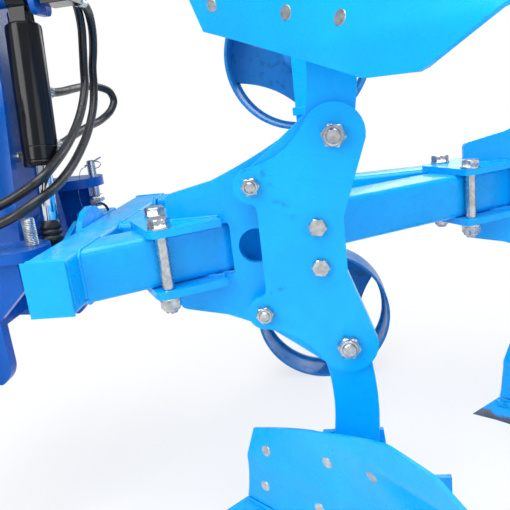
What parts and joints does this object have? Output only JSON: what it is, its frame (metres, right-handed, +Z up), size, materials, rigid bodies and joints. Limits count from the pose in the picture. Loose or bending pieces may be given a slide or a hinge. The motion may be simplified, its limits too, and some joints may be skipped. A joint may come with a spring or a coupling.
{
  "type": "mounted reversible mouldboard plough",
  "caption": "Mounted reversible plough with a turnover frame on a three-point headstock, paired bodies above and below, twin depth wheels and a parking stand.",
  "frame": {"origin": "centre of the bounding box on the ground", "axes": "+X to the rear, against the direction of travel; +Y to the plough's right-hand side as it travels; +Z up"},
  "size_m": [2.4142, 1.3752, 1.212],
  "materials": {
    "blue_paint": "gloss",
    "deep_blue_paint": "gloss",
    "black_paint": "gloss",
    "chrome_rod": "polished",
    "zinc_plate": "satin",
    "wear_steel": "satin",
    "black_rubber": "matte"
  },
  "bodies": {
    "headstock": {"headstock_mast": "deep_blue_paint", "bearing_housing": "deep_blue_paint", "lower_link_shaft": "deep_blue_paint", "top_link_bracket": "zinc_plate", "tilt_screw": "zinc_plate", "lock_pin": "zinc_plate", "stand_sleeve": "deep_blue_paint", "turnover_valve": "black_paint", "hose_holder": "zinc_plate", "coupler_a": "zinc_plate", "coupler_b": "zinc_plate", "hose_a": "black_rubber", "hose_b": "black_rubber"},
    "parking_stand": {"stand_leg": "deep_blue_paint"},
    "barrel": {"cylinder_barrel": "black_paint", "hose_c": "black_rubber"},
    "rod": {"cylinder_rod": "chrome_rod", "rod_boot": "black_rubber"},
    "wheel_lower": {"depth_wheel_lower": "blue_paint"},
    "wheel_upper": {"depth_wheel_upper": "blue_paint"},
    "frame": {"cross_member": "blue_paint", "turning_shaft": "deep_blue_paint", "crank_flange": "blue_paint", "stop_lug": "blue_paint", "main_beam": "blue_paint", "side_beam": "blue_paint", "axis_tube": "blue_paint", "leg_bracket_1": "blue_paint", "leg_cover_1": "blue_paint", "shank_lower_1": "blue_paint", "frog_lower_1": "blue_paint", "mouldboard_lower_1": "blue_paint", "share_lower_1": "wear_steel", "shank_upper_1": "blue_paint", "frog_upper_1": "blue_paint", "mouldboard_upper_1": "blue_paint", "share_upper_1": "wear_steel", "leg_bracket_2": "blue_paint", "leg_cover_2": "blue_paint", "shank_lower_2": "blue_paint", "frog_lower_2": "blue_paint", "mouldboard_lower_2": "blue_paint", "share_lower_2": "wear_steel", "shank_upper_2": "blue_paint", "frog_upper_2": "blue_paint", "mouldboard_upper_2": "blue_paint", "share_upper_2": "wear_steel", "leg_bracket_3": "blue_paint", "leg_cover_3": "blue_paint", "shank_lower_3": "blue_paint", "frog_lower_3": "blue_paint", "mouldboard_lower_3": "blue_paint", "share_lower_3": "wear_steel", "shank_upper_3": "blue_paint", "frog_upper_3": "blue_paint", "mouldboard_upper_3": "blue_paint", "share_upper_3": "wear_steel", "wheel_arm": "blue_paint"}
  },
  "joints": [
    {"name": "turnover", "type": "hinge", "parent": "headstock", "child": "frame", "pos_m": [-0.89725, -0.10921, 0.606], "axis": [-1, 0, 0], "range_deg": [0, 180]},
    {"name": "cylinder_swing", "type": "hinge", "parent": "headstock", "child": "barrel", "pos_m": [-0.89725, -0.10921, 1.126], "axis": [1, 0, 0], "range_deg": [0, 16.41]},
    {"name": "rod_stroke", "type": "slide", "parent": "barrel", "child": "rod", "axis": [0, 0.1428, 0.9898], "range_m": [0, 0.08]},
    {"name": "wheel_lower_spin", "type": "hinge", "parent": "frame", "child": "wheel_lower", "pos_m": [-0.35125, 0.41479, 0.203], "axis": [0, 1, 0], "continuous": true},
    {"name": "wheel_upper_spin", "type": "hinge", "parent": "frame", "child": "wheel_upper", "pos_m": [-0.36125, 0.41479, 0.98], "axis": [0, 1, 0], "continuous": true},
    {"name": "stand_slide", "type": "slide", "parent": "headstock", "child": "parking_stand", "axis": [0, 0, 1], "range_m": [0, 0.28]}
  ]
}
